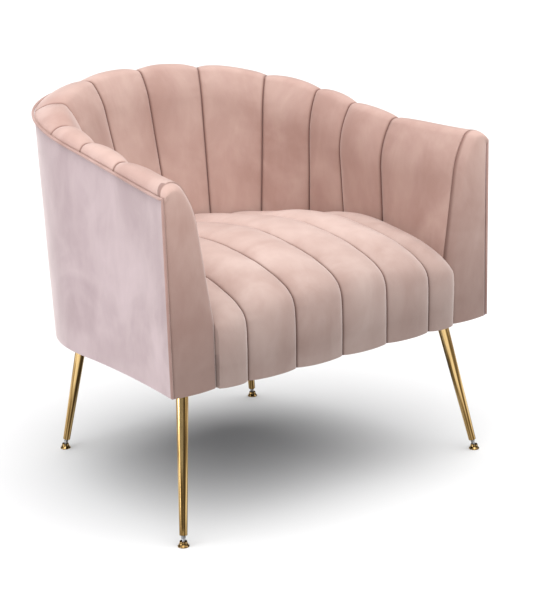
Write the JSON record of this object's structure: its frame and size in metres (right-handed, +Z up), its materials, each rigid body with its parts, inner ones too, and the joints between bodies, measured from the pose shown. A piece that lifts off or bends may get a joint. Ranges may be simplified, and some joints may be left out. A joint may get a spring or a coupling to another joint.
{
  "type": "tub chair",
  "caption": "Low-backed tub armchair with vertical padded channels rolled over a curved rim, a channelled seat and slim splayed metal legs on levelling feet.",
  "frame": {"origin": "on the floor, under the middle of the chair's bounding box", "axes": "+Z up, -Y to the front that the sitter faces, +X to the right of someone who looks at the front"},
  "size_m": [0.734, 0.6391, 0.7161],
  "materials": {
    "velvet": "blush pink matte velvet",
    "velvet_piping": "self-fabric piping",
    "base_cloth": "black spun cloth",
    "webbing": "woven elastic webbing",
    "foam": "open cell foam",
    "plywood": "raw plywood",
    "beech": "raw beech",
    "leg_brass": "polished gold-toned plating",
    "foot_brass": "polished gold-toned plating",
    "plate_steel": "black coated steel",
    "zinc_steel": "zinc plated steel"
  },
  "bodies": {
    "chair": {"arm_board_left": "beech", "arm_board_right": "beech", "arm_channel_left": "velvet", "arm_channel_right": "velvet", "arm_front_panel_left": "velvet", "arm_front_panel_right": "velvet", "arm_posts": "beech", "back_channel_left_1": "velvet", "back_channel_left_2": "velvet", "back_channel_left_3": "velvet", "back_channel_left_4": "velvet", "back_channel_left_5": "velvet", "back_channel_right_1": "velvet", "back_channel_right_2": "velvet", "back_channel_right_3": "velvet", "back_channel_right_4": "velvet", "back_channel_right_5": "velvet", "back_posts": "beech", "back_rail": "beech", "base_ring": "plywood", "corner_blocks": "beech", "dust_cover": "base_cloth", "front_rail": "beech", "inner_lining": "plywood", "leg_back_left": "leg_brass", "leg_back_right": "leg_brass", "leg_bolts": "zinc_steel", "leg_front_left": "leg_brass", "leg_front_right": "leg_brass", "leg_plate_back_left": "plate_steel", "leg_plate_back_right": "plate_steel", "leg_plate_front_left": "plate_steel", "leg_plate_front_right": "plate_steel", "outer_cover_back": "velvet", "outer_cover_left": "velvet", "outer_cover_right": "velvet", "piping": "velvet_piping", "rim_rail": "beech", "seat_channel_1": "velvet", "seat_channel_2": "velvet", "seat_channel_3": "velvet", "seat_channel_4": "velvet", "seat_channel_5": "velvet", "seat_channel_6": "velvet", "seat_foam": "foam", "side_rail_left": "beech", "side_rail_right": "beech", "thread_inserts": "zinc_steel", "webbing_crosswise": "webbing", "webbing_lengthwise": "webbing"},
    "foot_front_left": {"levelling_foot_front_left": "foot_brass"},
    "stud_front_left": {"levelling_stud_front_left": "zinc_steel"},
    "foot_front_right": {"levelling_foot_front_right": "foot_brass"},
    "stud_front_right": {"levelling_stud_front_right": "zinc_steel"},
    "foot_back_left": {"levelling_foot_back_left": "foot_brass"},
    "stud_back_left": {"levelling_stud_back_left": "zinc_steel"},
    "foot_back_right": {"levelling_foot_back_right": "foot_brass"},
    "stud_back_right": {"levelling_stud_back_right": "zinc_steel"}
  },
  "joints": [
    {"name": "foot_travel_front_left", "type": "slide", "parent": "chair", "child": "foot_front_left", "axis": [0.1659, 0.1766, 0.9702], "range_m": [-0.01, 0.006]},
    {"name": "stud_turn_front_left", "type": "hinge", "parent": "foot_front_left", "child": "stud_front_left", "pos_m": [-0.3428, -0.2886, 0.0047], "axis": [0.1659, 0.1766, 0.9702], "range_deg": [-2880, 1729]},
    {"name": "foot_travel_front_right", "type": "slide", "parent": "chair", "child": "foot_front_right", "axis": [-0.1659, 0.1766, 0.9702], "range_m": [-0.01, 0.006]},
    {"name": "stud_turn_front_right", "type": "hinge", "parent": "foot_front_right", "child": "stud_front_right", "pos_m": [0.3428, -0.2886, 0.0047], "axis": [-0.1659, 0.1766, 0.9702], "range_deg": [-2880, 1729]},
    {"name": "foot_travel_back_left", "type": "slide", "parent": "chair", "child": "foot_back_left", "axis": [0.1605, -0.1263, 0.9789], "range_m": [-0.01, 0.006]},
    {"name": "stud_turn_back_left", "type": "hinge", "parent": "foot_back_left", "child": "stud_back_left", "pos_m": [-0.2323, 0.2554, 0.0047], "axis": [0.1605, -0.1263, 0.9789], "range_deg": [-2880, 1729]},
    {"name": "foot_travel_back_right", "type": "slide", "parent": "chair", "child": "foot_back_right", "axis": [-0.1605, -0.1263, 0.9789], "range_m": [-0.01, 0.006]},
    {"name": "stud_turn_back_right", "type": "hinge", "parent": "foot_back_right", "child": "stud_back_right", "pos_m": [0.2323, 0.2554, 0.0047], "axis": [-0.1605, -0.1263, 0.9789], "range_deg": [-2880, 1729]}
  ],
  "couplings": [
    {"joint": "stud_turn_front_left", "follows": "foot_travel_front_left", "rad_per_m": 5026.5},
    {"joint": "stud_turn_front_right", "follows": "foot_travel_front_right", "rad_per_m": 5026.5},
    {"joint": "stud_turn_back_left", "follows": "foot_travel_back_left", "rad_per_m": 5026.5},
    {"joint": "stud_turn_back_right", "follows": "foot_travel_back_right", "rad_per_m": 5026.5}
  ]
}
